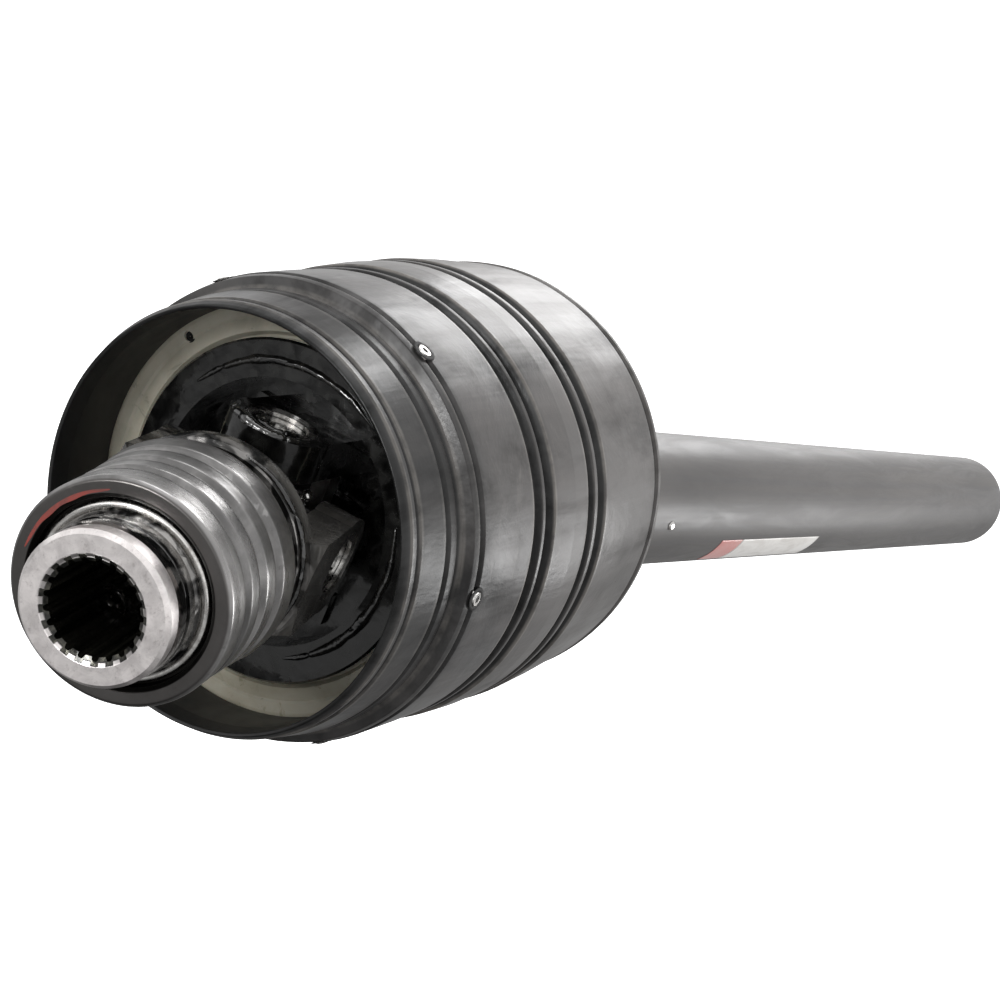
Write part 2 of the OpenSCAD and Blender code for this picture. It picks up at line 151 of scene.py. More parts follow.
def turned(name, profile, place, skin, body, segments=360, closed=True, sway=None, **more):
    """A turned piece: the profile's (x, r) points in mm go round local X. sway(x, r, angle) may move r a little."""
    p = np.array(profile, float)
    n = len(p)
    angle = np.linspace(0, 2 * math.pi, segments, endpoint=False)
    x = np.repeat(p[:, 0][:, None], segments, 1)
    r = np.repeat(p[:, 1][:, None], segments, 1)
    a = np.repeat(angle[None, :], n, 0)
    if sway:
        r = sway(x, r, a)
    verts = np.stack([x, r * np.cos(a), r * np.sin(a)], -1).reshape(-1, 3)
    faces = []
    for i in range(n if closed else n - 1):
        k = (i + 1) % n
        for j in range(segments):
            m = (j + 1) % segments
            faces.append((i * segments + j, i * segments + m, k * segments + m, k * segments + j))
    return mesh_piece(name, verts, faces, place, skin, body, **more)


def patch(name, x0, x1, a0, a1, r, place, skin, body, thick=0.3, rows=24, columns=48, **more):
    """A curved sheet on a tube: from x0 to x1 along it and from angle a0 to a1 round it, lifted by a soft edge."""
    verts, faces = [], []
    for side in (0, 1):
        for i in range(rows + 1):
            for j in range(columns + 1):
                a = math.radians(a0 + (a1 - a0) * i / rows)
                x = x0 + (x1 - x0) * j / columns
                edge = min(i, rows - i, j, columns - j)
                lift = r + (thick * (0.55 if edge == 0 else 1.0) if side else 0.02)
                verts.append((x, lift * math.cos(a), lift * math.sin(a)))
    row, layer = columns + 1, (rows + 1) * (columns + 1)
    for i in range(rows):
        for j in range(columns):
            q = [i * row + j, i * row + j + 1, (i + 1) * row + j + 1, (i + 1) * row + j]
            faces.append(q[::-1])
            faces.append([v + layer for v in q])
    rim = [j for j in range(columns)] + [i * row + columns for i in range(rows)]
    rim += [rows * row + j for j in range(columns, 0, -1)] + [i * row for i in range(rows, 0, -1)]
    for a, b in zip(rim, rim[1:] + rim[:1]):
        faces.append((a, b, b + layer, a + layer))
    return mesh_piece(name, verts, faces, place, skin, body, **more)


# ---------------------------------------------------------------- materials

class Skin:
    """One procedural material, built node by node on a Principled shader."""

    def __init__(self, name, colour, rough, metal=0.0, place=None, **fixed):
        self.material = bpy.data.materials.new(name)
        self.material.use_nodes = True
        self.nodes = self.material.node_tree.nodes
        self.links = self.material.node_tree.links
        self.shader = self.nodes["Principled BSDF"]
        self.shader.inputs["Base Color"].default_value = (*colour, 1)
        self.shader.inputs["Roughness"].default_value = rough
        self.shader.inputs["Metallic"].default_value = metal
        for key, value in fixed.items():
            self.shader.inputs[key.replace("_", " ")].default_value = value
        self.where = self.node("TexCoord").outputs["Object"]
        self.normal = None
        if place is not None:
            m = place.inverted()
            self.where = self.node("Mapping", {0: self.where, 1: m.translation, 2: m.to_euler()}).outputs[0]

    def node(self, kind, inputs=None, **props):
        made = self.nodes.new("ShaderNode" + kind)
        for key, value in props.items():
            setattr(made, key, value)
        for key, value in (inputs or {}).items():
            self.give(made.inputs[key], value)
        return made

    def give(self, socket, value):
        if isinstance(value, bpy.types.NodeSocket):
            self.links.new(value, socket)
        else:
            socket.default_value = value

    def noise(self, scale, detail=4.0, rough=0.55, stretch=(1, 1, 1), shift=(0, 0, 0), bend=0.0):
        at = self.node("Mapping", {0: self.where, 1: shift, 3: stretch}).outputs[0]
        made = self.node("TexNoise", {"Vector": at, "Scale": scale, "Detail": detail, "Roughness": rough, "Distortion": bend})
        return made.outputs["Fac"]

    def span(self, value, a, b, lo=0.0, hi=1.0):
        made = self.node("MapRange", {0: value, 1: a, 2: b, 3: lo, 4: hi}, interpolation_type="SMOOTHSTEP")
        return made.outputs[0]

    def math(self, what, a, b=0.0):
        return self.node("Math", {0: a, 1: b}, operation=what).outputs[0]

    def blend(self, amount, a, b):
        made = self.node("Mix", data_type="RGBA", clamp_factor=True)
        self.give(made.inputs[0], amount)
        self.give(made.inputs[6], a if isinstance(a, bpy.types.NodeSocket) else (*a, 1))
        self.give(made.inputs[7], b if isinstance(b, bpy.types.NodeSocket) else (*b, 1))
        return made.outputs[2]

    def radius(self):
        """Distance from the local X axis."""
        parts = self.node("SeparateXYZ", {0: self.where})
        y, z = parts.outputs[1], parts.outputs[2]
        return self.math("SQRT", self.math("ADD", self.math("MULTIPLY", y, y), self.math("MULTIPLY", z, z)))

    def along(self):
        return self.node("SeparateXYZ", {0: self.where}).outputs[0]

    def stored(self, name):
        return self.node("Attribute", attribute_name=name).outputs["Fac"]

    def pointed(self):
        return self.node("NewGeometry").outputs["Pointiness"]

    def bump(self, height, distance_mm, strength=1.0):
        made = self.node("Bump", {"Strength": strength, "Distance": distance_mm * MM, "Height": height})
        if self.normal is not None:
            self.links.new(self.normal, made.inputs["Normal"])
        self.normal = made.outputs[0]
        return self

    def done(self, colour=None, rough=None, metal=None, coat_normal=False):
        if colour is not None:
            self.give(self.shader.inputs["Base Color"], colour)
        if rough is not None:
            self.give(self.shader.inputs["Roughness"], rough)
        if metal is not None:
            self.give(self.shader.inputs["Metallic"], metal)
        if self.normal is not None:
            self.give(self.shader.inputs["Normal"], self.normal)
            if coat_normal:
                self.give(self.shader.inputs["Coat Normal"], self.normal)
        return self.material


def bell_plastic():
    """Black moulded plastic: satin, blotchy, with scuffs along and round it, chalky beads whose light edges are partly
    wear and partly painted highlight, and painted shade in the grooves and on the bands beside them.
    """
    s = Skin("bell_plastic", (0.03, 0.03, 0.032), 0.42, place=HOUSING)
    s.shader.inputs["Specular IOR Level"].default_value = 0.55
    blotch = s.noise(14, 5, 0.6, bend=0.6)
    lengthwise = s.noise(30, 4, 0.6, stretch=(0.12, 2.2, 2.2), shift=(3, 1, 2))
    rings = s.noise(260, 3, 0.6, stretch=(1, 0.02, 0.02))
    fine = s.noise(1500, 2, 0.5)
    scuff = s.noise(90, 6, 0.7, stretch=(1, 0.35, 0.35), shift=(7, 3, 1), bend=1.2)
    dusty = s.math("MULTIPLY", s.span(scuff, 0.54, 0.72), s.span(blotch, 0.42, 0.6))
    # partly wear, partly painted highlight: the land edges beside each groove are lightened
    worn = s.math("MULTIPLY", s.span(s.stored("rim"), 0.2, 0.75), s.span(s.noise(70, 5, 0.6), 0.3, 0.6))
    smudge = s.noise(30, 5, 0.62, stretch=(0.35, 1.0, 1.0), shift=(9, 2, 4), bend=0.45)
    tone = s.blend(s.span(blotch, 0.3, 0.7), (0.026, 0.025, 0.025), (0.066, 0.061, 0.059))
    tone = s.blend(s.span(lengthwise, 0.35, 0.75, 0, 0.6), tone, (0.092, 0.085, 0.081))
    tone = s.blend(s.math("MULTIPLY", dusty, 0.55), tone, (0.12, 0.112, 0.105))
    # wear and painted highlight on the groove edges
    tone = s.blend(s.math("MULTIPLY", worn, 0.75), tone, (0.25, 0.232, 0.212))
    # darker towards the front end of the bell and lighter towards its rear end
    tone = s.blend(s.span(s.along(), 0.050, 0.072, 0, 0.55), tone, (0.014, 0.014, 0.014))
    tone = s.blend(s.span(s.along(), 0.03, -0.04, 0, 0.35), tone, (0.145, 0.135, 0.128))
    tone = s.blend(s.span(smudge, 0.44, 0.74, 0, 0.45), tone, (0.022, 0.022, 0.022))
    # painted shade: the bands next to each groove are darkened, broken up by the scuff noise
    tone = s.blend(s.math("MULTIPLY", s.span(s.stored("near"), 0.1, 1.0), s.span(scuff, 0.3, 0.65, 0.95, 0.35)), tone, (0.010, 0.010, 0.010))
    # painted shade: the grooves themselves are darkened almost to black
    groove_shade = s.span(s.math("ADD", s.stored("depth"), s.math("MULTIPLY", blotch, 0.25)), 0.3, 0.75)
    tone = s.blend(groove_shade, tone, (0.005, 0.005, 0.005))
    rough = s.span(s.math("ADD", s.math("MULTIPLY", lengthwise, 0.6), s.math("MULTIPLY", blotch, 0.4)), 0.3, 0.7, 0.27, 0.46)
    s.give(s.shader.inputs["Specular IOR Level"], s.span(smudge, 0.42, 0.68, 0.55, 0.16))
    s.bump(blotch, 0.9).bump(lengthwise, 0.34).bump(rings, 0.05).bump(scuff, 0.05).bump(fine, 0.012)
    return s.done(tone, rough)


def bell_inside():
    """The bell's inside and rim: the same plastic, greasy, and darkened by painted shade."""
    s = Skin("bell_inside", (0.012, 0.012, 0.013), 0.4, place=HOUSING)
    blotch = s.noise(22, 5, 0.6, bend=0.5)
    fine = s.noise(900, 2, 0.5)
    tone = s.blend(s.span(blotch, 0.35, 0.7), (0.003, 0.003, 0.003), (0.013, 0.013, 0.013))
    s.bump(blotch, 0.3).bump(fine, 0.01)
    return s.done(tone, s.span(blotch, 0.3, 0.7, 0.4, 0.6))


def tube_plastic():
    """Grey extruded tube with fine lines along it and a rubbed, dusty side."""
    s = Skin("tube_plastic", (0.09, 0.09, 0.095), 0.36, place=SHAFT)
    lines = s.noise(260, 3, 0.6, stretch=(0.01, 1, 1))
    blotch = s.noise(9, 5, 0.6, stretch=(0.5, 1, 1), bend=0.5)
    scuff = s.noise(60, 6, 0.7, stretch=(0.2, 1, 1), bend=0.8)
    fine = s.noise(1400, 2, 0.5)
    tone = s.blend(s.span(blotch, 0.3, 0.7), (0.056, 0.053, 0.051), (0.090, 0.084, 0.080))
    tone = s.blend(s.span(scuff, 0.56, 0.74, 0, 0.5), tone, (0.14, 0.132, 0.122))
    tone = s.blend(s.span(lines, 0.3, 0.7, 0, 0.35), tone, (0.06, 0.06, 0.064))
    s.bump(blotch, 0.25).bump(lines, 0.06).bump(fine, 0.008)
    return s.done(tone, s.span(scuff, 0.35, 0.7, 0.38, 0.52))


def nylon():
    """Cream nylon ring, yellowed and smudged with grease."""
    s = Skin("nylon_cream", (0.46, 0.43, 0.35), 0.38, place=HOUSING)
    s.shader.inputs["Subsurface Weight"].default_value = 0.08
    s.shader.inputs["Subsurface Scale"].default_value = 0.002
    blotch = s.noise(26, 5, 0.6, bend=0.5)
    smear = s.noise(55, 6, 0.7, stretch=(1, 0.6, 0.6), shift=(2, 5, 1), bend=1.0)
    fine = s.noise(900, 2, 0.5)
    tone = s.blend(s.span(blotch, 0.3, 0.7), (0.36, 0.34, 0.27), (0.56, 0.53, 0.44))
    tone = s.blend(s.span(smear, 0.55, 0.72, 0, 0.75), tone, (0.16, 0.145, 0.115))
    # darker towards the bottom of the ring, broken up by the smear noise
    low = s.span(s.node("SeparateXYZ", {0: s.where}).outputs[2], -0.02, -0.055)
    tone = s.blend(s.math("MULTIPLY", low, s.span(smear, 0.30, 0.48, 0.9, 0.55)), tone, (0.13, 0.12, 0.085))
    s.bump(blotch, 0.2).bump(fine, 0.02)
    return s.done(tone, s.span(smear, 0.35, 0.7, 0.42, 0.24))


def turned_steel(name, place=None, bright=(0.60, 0.585, 0.57), dull=(0.40, 0.385, 0.37), rough=(0.2, 0.4)):
    """Machined steel: fine tool rings on faces and round bars, light stains."""
    s = Skin(name, bright, rough[0], 1.0, place)
    across = s.node("CombineXYZ", {0: s.along(), 1: s.radius()}).outputs[0]
    tool = s.node("TexNoise", {"Vector": across, "Scale": 1500.0, "Detail": 2.0, "Roughness": 0.7}).outputs["Fac"]
    stain = s.noise(80, 5, 0.65, bend=0.6)
    grit = s.noise(700, 3, 0.6)
    tone = s.blend(s.span(stain, 0.35, 0.7), bright, dull)
    tone = s.blend(s.span(tool, 0.45, 0.8, 0, 0.35), tone, dull)
    s.bump(tool, 0.02).bump(grit, 0.008).bump(stain, 0.05)
    return s.done(tone, s.span(s.math("ADD", s.math("MULTIPLY", stain, 0.5), s.math("MULTIPLY", grit, 0.5)), 0.35, 0.65, *rough))


def greasy_steel(name):
    """Dark forged steel under a wet coat of black grease that gathers in lumps and runs."""
    s = Skin(name, (0.02, 0.02, 0.02), 0.3, 0.2, Coat_Weight=1.0, Coat_Roughness=0.05, Coat_IOR=1.34)
    lumps = s.noise(45, 2, 0.35, bend=0.2)
    runs = s.noise(150, 2, 0.4, shift=(1, 4, 2), bend=0.3)
    tone = s.blend(s.span(runs, 0.35, 0.7), (0.002, 0.002, 0.002), (0.010, 0.010, 0.009))
    s.bump(lumps, 1.1).bump(runs, 0.25)
    return s.done(tone, s.span(runs, 0.35, 0.7, 0.16, 0.34), coat_normal=True)


def yoke_finish():
    """The splined yoke: bright turned nose face, dark splines, painted shade in the spline notches and on the chamfer
    at the bore mouth, wet turned neck and greasy grey forging behind, left lighter grey on the ears' +Y side as painted
    light.
    """
    s = Skin("yoke_forged", (0.02, 0.02, 0.02), 0.3, 0.2, place=NOSE, Coat_Weight=0.5, Coat_Roughness=0.05)
    x, r = s.along(), s.radius()
    parts = s.node("SeparateXYZ", {0: s.where})
    teeth = s.math("COSINE", s.math("MULTIPLY", s.math("ARCTAN2", parts.outputs[2], parts.outputs[1]), 21.0))
    bore = s.math("MAXIMUM", s.span(r, 0.0178, 0.0173), s.math("MULTIPLY", s.span(r, 0.0181, 0.0177), s.span(x, 0.1186, 0.1180)))
    # painted shade: the spline notches are painted dark out across the mouth chamfer, so they look deeper
    notch_shade = s.math("MULTIPLY", s.span(teeth, -0.15, 0.1), s.span(r, 0.0190, 0.0186))
    bore = s.math("MAXIMUM", bore, notch_shade)
    face = s.math("MULTIPLY", s.span(x, 0.1120, 0.1128), s.math("SUBTRACT", 1.0, bore))
    neck = s.span(x, 0.036, 0.044)
    across = s.node("CombineXYZ", {0: x, 1: r}).outputs[0]
    tool = s.node("TexNoise", {"Vector": across, "Scale": 1100.0, "Detail": 3.0, "Roughness": 0.7}).outputs["Fac"]
    stain = s.noise(150, 5, 0.65, bend=0.6)
    grit = s.noise(420, 5, 0.75)
    lumps = s.noise(95, 2, 0.45, bend=0.5)
    patches = s.noise(60, 4, 0.6, shift=(2, 6, 1), bend=1.0)
    strokes = s.noise(260, 3, 0.6, stretch=(0.03, 1, 1))
    # painted light: on the ears' +Y side most grease is left off, so the lighter grey forging shows
    lit_ear_side = s.math("MULTIPLY", s.span(parts.outputs[1], 0.012, 0.026), s.span(x, 0.052, 0.044))
    grease_except_lit_ears = s.math("MULTIPLY", s.span(patches, 0.40, 0.56), s.math("SUBTRACT", 1.0, s.math("MULTIPLY", lit_ear_side, 0.75)))
    forging = s.blend(grease_except_lit_ears, (0.12, 0.115, 0.107), (0.006, 0.006, 0.006))
    wet = s.blend(s.span(lumps, 0.45, 0.56), (0.33, 0.32, 0.31), (0.01, 0.01, 0.01))
    dark = s.blend(neck, forging, wet)
    splines = s.blend(s.span(strokes, 0.4, 0.75), (0.010, 0.010, 0.008), (0.11, 0.105, 0.085))
    shine = s.blend(s.span(stain, 0.35, 0.7), (0.93, 0.885, 0.87), (0.72, 0.68, 0.67))
    shine = s.blend(s.span(grit, 0.52, 0.72, 0, 0.55), shine, (0.42, 0.38, 0.37))
    # painted shade: the chamfer round the bore is darkened
    shine = s.blend(s.span(r, 0.0190, 0.0184, 0, 0.55), shine, (0.25, 0.24, 0.235))
    tone = s.blend(face, s.blend(bore, dark, splines), shine)
    rough = s.math("ADD", s.math("MULTIPLY", face, 0.2), s.span(lumps, 0.3, 0.7, 0.14, 0.26))
    s.bump(s.math("MULTIPLY", lumps, s.math("SUBTRACT", 1.0, face)), 1.6)
    s.bump(tool, 0.03).bump(grit, 0.035)
    bare = s.math("MAXIMUM", face, s.math("MULTIPLY", neck, 0.8))
    metal = s.math("ADD", s.math("MULTIPLY", bare, 0.8), 0.2)
    return s.done(tone, rough, metal)


def collar_finish():
    """Satin steel collar: turned rings, rubbed edges, grease smears and small knocks, with painted shade darkening the
    front face, the concave grooves and the bore edge.
    """
    s = Skin("collar_finish", (0.2, 0.2, 0.2), 0.3, 0.9, place=NOSE)
    x, r = s.along(), s.radius()
    rings = s.noise(620, 3, 0.65, stretch=(1, 0.015, 0.015))
    blotch = s.noise(34, 5, 0.62, bend=0.6)
    smear = s.noise(110, 5, 0.6, stretch=(1, 0.18, 0.18), shift=(4, 1, 7), bend=0.3)
    knocks = s.noise(260, 5, 0.7, shift=(5, 2, 8))
    front = s.math("MULTIPLY", s.span(x, 0.1018, 0.1026), s.span(r, 0.0394, 0.0386))
    tone = s.blend(s.span(blotch, 0.3, 0.7), (0.165, 0.162, 0.160), (0.34, 0.332, 0.328))
    tone = s.blend(s.span(smear, 0.45, 0.7, 0, 0.6), tone, (0.08, 0.078, 0.075))
    tone = s.blend(s.span(knocks, 0.6, 0.75, 0, 0.5), tone, (0.05, 0.05, 0.05))
    tone = s.blend(s.span(s.pointed(), 0.515, 0.6, 0, 0.4), tone, (0.55, 0.54, 0.53))
    # painted shade: every concave groove is darkened
    tone = s.blend(s.span(s.pointed(), 0.49, 0.45, 0, 0.8), tone, (0.02, 0.02, 0.02))
    # painted shade: the front face is darkened
    tone = s.blend(s.math("MULTIPLY", front, 0.85), tone, (0.075, 0.070, 0.067))
    # painted shade: the bore edge and the inside of the collar are darkened
    tone = s.blend(s.span(r, 0.0346, 0.0341), tone, (0.012, 0.011, 0.010))
    s.bump(rings, 0.03).bump(blotch, 0.2).bump(smear, 0.08).bump(knocks, 0.03)
    return s.done(tone, s.span(smear, 0.3, 0.7, 0.24, 0.38))


def bright_wire(name="zinc_bright"):
    """Bright zinc on small parts, with faint draw marks."""
    s = Skin(name, (0.66, 0.65, 0.63), 0.2, 1.0)
    spots = s.noise(300, 4, 0.6)
    fine = s.noise(1500, 2, 0.5, stretch=(1, 0.2, 0.2))
    tone = s.blend(s.span(spots, 0.4, 0.7), (0.70, 0.69, 0.67), (0.42, 0.40, 0.38))
    s.bump(spots, 0.04).bump(fine, 0.01)
    return s.done(tone, s.span(spots, 0.35, 0.7, 0.16, 0.36))


def bearing_steel():
    """Ground bearing steel with a thin film of grease."""
    s = Skin("bearing_ground", (0.55, 0.55, 0.55), 0.16, 1.0, Coat_Weight=0.4, Coat_Roughness=0.08)
    film = s.noise(90, 4, 0.6, bend=0.7)
    grind = s.noise(1600, 2, 0.6, stretch=(1, 0.1, 1))
    tone = s.blend(s.span(film, 0.45, 0.65), (0.58, 0.575, 0.56), (0.12, 0.115, 0.11))
    s.bump(film, 0.2).bump(grind, 0.006)
    return s.done(tone, s.span(film, 0.35, 0.7, 0.12, 0.34))


def seal_rubber():
    """Black seal rubber, matt with a greasy bloom."""
    s = Skin("seal_rubber_black", (0.02, 0.02, 0.02), 0.55)
    bloom = s.noise(130, 5, 0.6)
    fine = s.noise(1200, 2, 0.5)
    tone = s.blend(s.span(bloom, 0.35, 0.7), (0.012, 0.012, 0.012), (0.04, 0.04, 0.04))
    s.bump(bloom, 0.1).bump(fine, 0.02)
    return s.done(tone, s.span(bloom, 0.3, 0.7, 0.35, 0.65))


def film(name, light, dark, rough=0.3):
    """Printed plastic film: slight print mottle, rubbed and dusty."""
    s = Skin(name, light, rough, Coat_Weight=0.5, Coat_Roughness=0.15)
    rub = s.noise(60, 5, 0.65, stretch=(0.5, 1, 1), bend=0.6)
    grain = s.noise(900, 2, 0.5)
    tone = s.blend(s.span(rub, 0.4, 0.75), light, dark)
    s.bump(rub, 0.06).bump(grain, 0.01)
    return s.done(tone, s.span(rub, 0.3, 0.7, rough, rough + 0.2))


def grease_blob():
    """Thick black grease standing on the parts."""
    s = Skin("grease_black", (0.006, 0.006, 0.006), 0.12, 0.0, Coat_Weight=1.0, Coat_Roughness=0.03)
    lumps = s.noise(140, 3, 0.5, bend=0.8)
    tone = s.blend(s.span(lumps, 0.35, 0.7), (0.004, 0.004, 0.004), (0.018, 0.017, 0.015))
    s.bump(lumps, 0.9)
    return s.done(tone, s.span(lumps, 0.3, 0.7, 0.1, 0.22), coat_normal=True)


def shade_black():
    """Near-black painted shade: the dark inside of a small hole, and the shaded ring round each bell screw."""
    s = Skin("hole_shade_black", (0.004, 0.004, 0.004), 0.7)
    dust = s.noise(500, 3, 0.6)
    s.bump(dust, 0.05)
    return s.done(s.blend(s.span(dust, 0.4, 0.7), (0.003, 0.003, 0.003), (0.012, 0.011, 0.01)))


BELL = bell_plastic()
INSIDE = bell_inside()
TUBE = tube_plastic()
NYLON = nylon()
COLLAR = collar_finish()
ZINC = bright_wire()
BEARING = bearing_steel()
RUBBER = seal_rubber()
GREASE = grease_blob()
SHADE_BLACK = shade_black()
BARE = turned_steel("bare_steel", None, (0.42, 0.41, 0.40), (0.20, 0.19, 0.18), (0.28, 0.5))
DARK_STEEL = greasy_steel("steel_greasy")
YOKE = yoke_finish()
LABEL_WHITE = film("label_white", (0.80, 0.78, 0.75), (0.62, 0.59, 0.56))
LABEL_RED = film("label_red", (0.60, 0.22, 0.20), (0.62, 0.40, 0.37))
RED_MARK = film("collar_red_mark", (0.24, 0.030, 0.02), (0.045, 0.024, 0.02), 0.42)

SKINS = {
    "black_plastic": BELL, "grey_plastic": TUBE, "nylon": NYLON, "collar_steel": COLLAR, "zinc_steel": ZINC,
    "bearing_steel": BEARING, "seal_rubber": RUBBER, "forged_steel": DARK_STEEL, "machined_steel": BARE, "label_film": LABEL_WHITE,
}
slot_of = {p["node"]: p["material_slot"] for p in frame["record"]["subparts"]}
for name, ob in nodes.items():
    ob.data.materials.clear()
    ob.data.materials.append(YOKE if name == "splined_yoke" else SKINS[slot_of[name]])


# ---------------------------------------------------------------- guard bell

BELL_OUT = [
    (98, 85, 0.8), (96, 86.5, 0.8), (93, 86.5, 0.8), (92, 85.7, 0.5), (91, 87.4, 0.6), (77, 90.2, 0.8), (75, 88.8, 0.7),
    (73.5, 90.5, 0.8), (69.8, 91.2, 0.8), (68.3, 89.6, 0.7), (66.3, 91.6, 0.6), (65.2, 96.2, 0.8), (62, 97.2, 0.8),
    (60.8, 96, 0.5), (59.2, 98, 0.8), (36, 99.8, 2), (19, 100.7, 1.1), (17, 97.9, 0.7), (13.4, 98.1, 0.5), (12.2, 101.4, 0.8),
    (9.8, 101.8, 0.8), (8.6, 98.6, 0.5), (5.4, 98.9, 0.7), (3.8, 103.6, 1.2), (-14, 105.6, 2), (-26.8, 106.3, 1.1),
    (-28.6, 103.2, 0.7), (-32, 103.4, 0.5), (-33.2, 106.8, 0.8), (-36.4, 107, 0.8), (-37.8, 103.4, 0.5), (-41.6, 103.6, 0.7),
    (-43.5, 108.2, 0.9), (-70, 109, 2), (-107, 109, 0.9), (-109, 107.4, 0.7), (-111, 109.6, 0.7), (-114, 109.6, 0.8),
    (-115, 108.5, 0.5),
]
BELL_IN = [
    (-115, 104.5, 0.5), (-48, 103.6, 2), (-43, 99.8, 2), (4, 94.9, 2), (17, 94.2, 2), (44, 94.4, 2), (62.5, 93.4, 1.5),
    (62.5, 86, 1.2), (90, 83, 2),
    (99.4, 83, 0.5), (100, 83.8, 0.3), (100, 84.3, 0.4),
]


def bell_sway(x, r, a):
    """A moulded bell is never quite round: tenths of a millimetre of slow waves."""
    slow = 0.16 * np.cos(2 * a + 0.6 + x * 0.01) + 0.09 * np.cos(3 * a + 2.1 - x * 0.018)
    small = 0.05 * np.cos(11 * a + x * 0.05) + 0.03 * np.cos(17 * a - x * 0.09)
    return r + (slow + small) * np.clip((100 - x) / 30, 0.15, 1.0)


outside = divided(rounded(BELL_OUT, closed=False), 2.2, closed=False)
inside = divided(rounded(BELL_IN, closed=False), 5.0, closed=False)
bell = turned("bell_shell", outside + inside, HOUSING, [BELL, INSIDE], "bell_guard", 420, sway=bell_sway,
              stands_for=["bell"], finish="black_plastic")
LAND = sorted(p[:2] for p in BELL_OUT if p[:2] in [
    (96, 86.5), (91, 87.4), (77, 90.2), (66.3, 91.6), (62, 97.2), (36, 99.8), (19, 100.7), (3.8, 103.6), (-14, 105.6),
    (-26.8, 106.3), (-43.5, 108.2), (-70, 109), (-107, 109), (-114, 109.6)])
to_local = HOUSING.inverted()
# depth below the lands, used for the painted shade in the grooves
depth = bell.data.attributes.new("depth", "FLOAT", "POINT")
local = np.array([to_local @ v.co for v in bell.data.vertices]) / MM
radius = np.hypot(local[:, 1], local[:, 2])
land = np.interp(local[:, 0], [p[0] for p in LAND], [p[1] for p in LAND])
depth.data.foreach_set("value", np.clip((land - radius) / 2.5, 0, 1).astype(np.float32))
# groove-edge weight, used for the wear and painted highlight on the groove edges
corners = [p for p in LAND if p[0] not in (36, -14, -70, -107)]
rim = bell.data.attributes.new("rim", "FLOAT", "POINT")
rim.data.foreach_set("value", np.max([np.exp(-((local[:, 0] - x) ** 2 + (radius - r) ** 2) / 1.3) for x, r in corners], 0)
                     .astype(np.float32))
# closeness to each groove, used for the painted shade on the bands beside the grooves
near = bell.data.attributes.new("near", "FLOAT", "POINT")
near.data.foreach_set("value", np.max([np.exp(-np.abs(local[:, 0] - x) / 5.0) for x in (75, 60.8, 15, 7, -30.3, -39.7)], 0)
                      .astype(np.float32))
# inward-facing faces take bell_inside, the darker copy of the plastic: painted shade inside the bell
for f in bell.data.polygons:
    c = to_local @ f.center
    n = to_local.to_3x3() @ f.normal
    f.material_index = 1 if n.dot(Vector((0, c.y, c.z)).normalized()) < -0.35 else 0


# ---------------------------------------------------------------- slide collar

COLLAR_OUT = [
    (103, 34.2, 0.5), (103, 38.5, 1.3), (101.5, 40, 1.4), (92, 40.3, 0.9), (91, 38.2, 0.7), (88.5, 38.3, 0.7),
    (87, 40.4, 1.2), (81, 40.9, 1.2), (79.5, 38.8, 0.7), (77, 38.9, 0.7), (75.5, 41.1, 1.2), (69, 41.8, 1.2),
    (67.5, 39.7, 0.7), (65, 39.8, 0.7), (63.5, 42.2, 1.2), (55, 43.4, 1.8), (52, 41, 1.0),
]
COLLAR_IN = [
    (52, 35.2, 0.4), (70, 35.2, 0.2), (70, 29.45, 0.2), (78, 29.45, 0.4), (87, 31.35, 0.4), (93.6, 31.35, 0.2),
    (93.6, 29.4, 0.2), (97.9, 29.4, 0.2), (97.9, 32.8, 0.2), (101.8, 32.8, 0.4),
]
collar_profile = divided(rounded(COLLAR_OUT + COLLAR_IN), 1.2)
turned("collar_ribbed", collar_profile, NOSE, COLLAR, "collar", 300, stands_for=["slide_collar"], finish="collar_steel")


def ring_sector(name, x, r0, r1, a0, a1, place, skin, body, steps=60, lift=0.12, **more):
    """A thin worn paint mark on a flat ring, narrowing to both ends."""
    verts, faces = [], []
    for i in range(steps + 1):
        t = i / steps
        a = math.radians(a0 + (a1 - a0) * t)
        wide = (r1 - r0) * (0.15 + 0.85 * math.sin(math.pi * t) ** 0.6) * (0.9 + 0.1 * math.sin(23 * t))
        for r, dx in ((r1 - wide, -0.1), (r1 - wide, lift), (r1, lift), (r1, -0.1)):
            verts.append((x + dx, r * math.cos(a), r * math.sin(a)))
    for i in range(steps):
        for k in range(4):
            m = (k + 1) % 4
            faces.append((4 * i + k, 4 * i + m, 4 * i + 4 + m, 4 * i + 4 + k))
    faces += [(0, 1, 2, 3), (4 * steps, 4 * steps + 1, 4 * steps + 2, 4 * steps + 3)]
    return mesh_piece(name, verts, faces, place, skin, body, smooth=False, **more)


ring_sector("collar_red_streak", 102.97, 33.9, 35.7, 114, 180, NOSE, RED_MARK, "collar", finish="collar_steel")


def disc(name, centre, axis, r0, r1, place, skin, body, thick=0.12, around=40, **more):
    """A thin round washer or disc, r0 to r1, facing along axis. Several centres make one piece."""
    verts, faces = [], []
    for c, ax in zip(centre, axis):
        ax = Vector(ax).normalized()
        side = ax.orthogonal().normalized()
        across = ax.cross(side)
        base = len(verts)
        rings = [(r0, 0.0), (r0, thick), ((r0 + r1) / 2, thick * 1.15), (r1, thick * 0.9), (r1, 0.0)]
        for r, lift in rings:
            for j in range(around):
                a = 2 * math.pi * j / around
                verts.append(Vector(c) + ax * lift + (side * math.cos(a) + across * math.sin(a)) * r)
        for k in range(len(rings)):
            m = (k + 1) % len(rings)
            for j in range(around):
                q = (j + 1) % around
                faces.append((base + k * around + j, base + k * around + q, base + m * around + q, base + m * around + j))
    return mesh_piece(name, verts, faces, place, skin, body, **more)


def round_point(x, r, degrees):
    return (x, r * math.cos(math.radians(degrees)), r * math.sin(math.radians(degrees)))


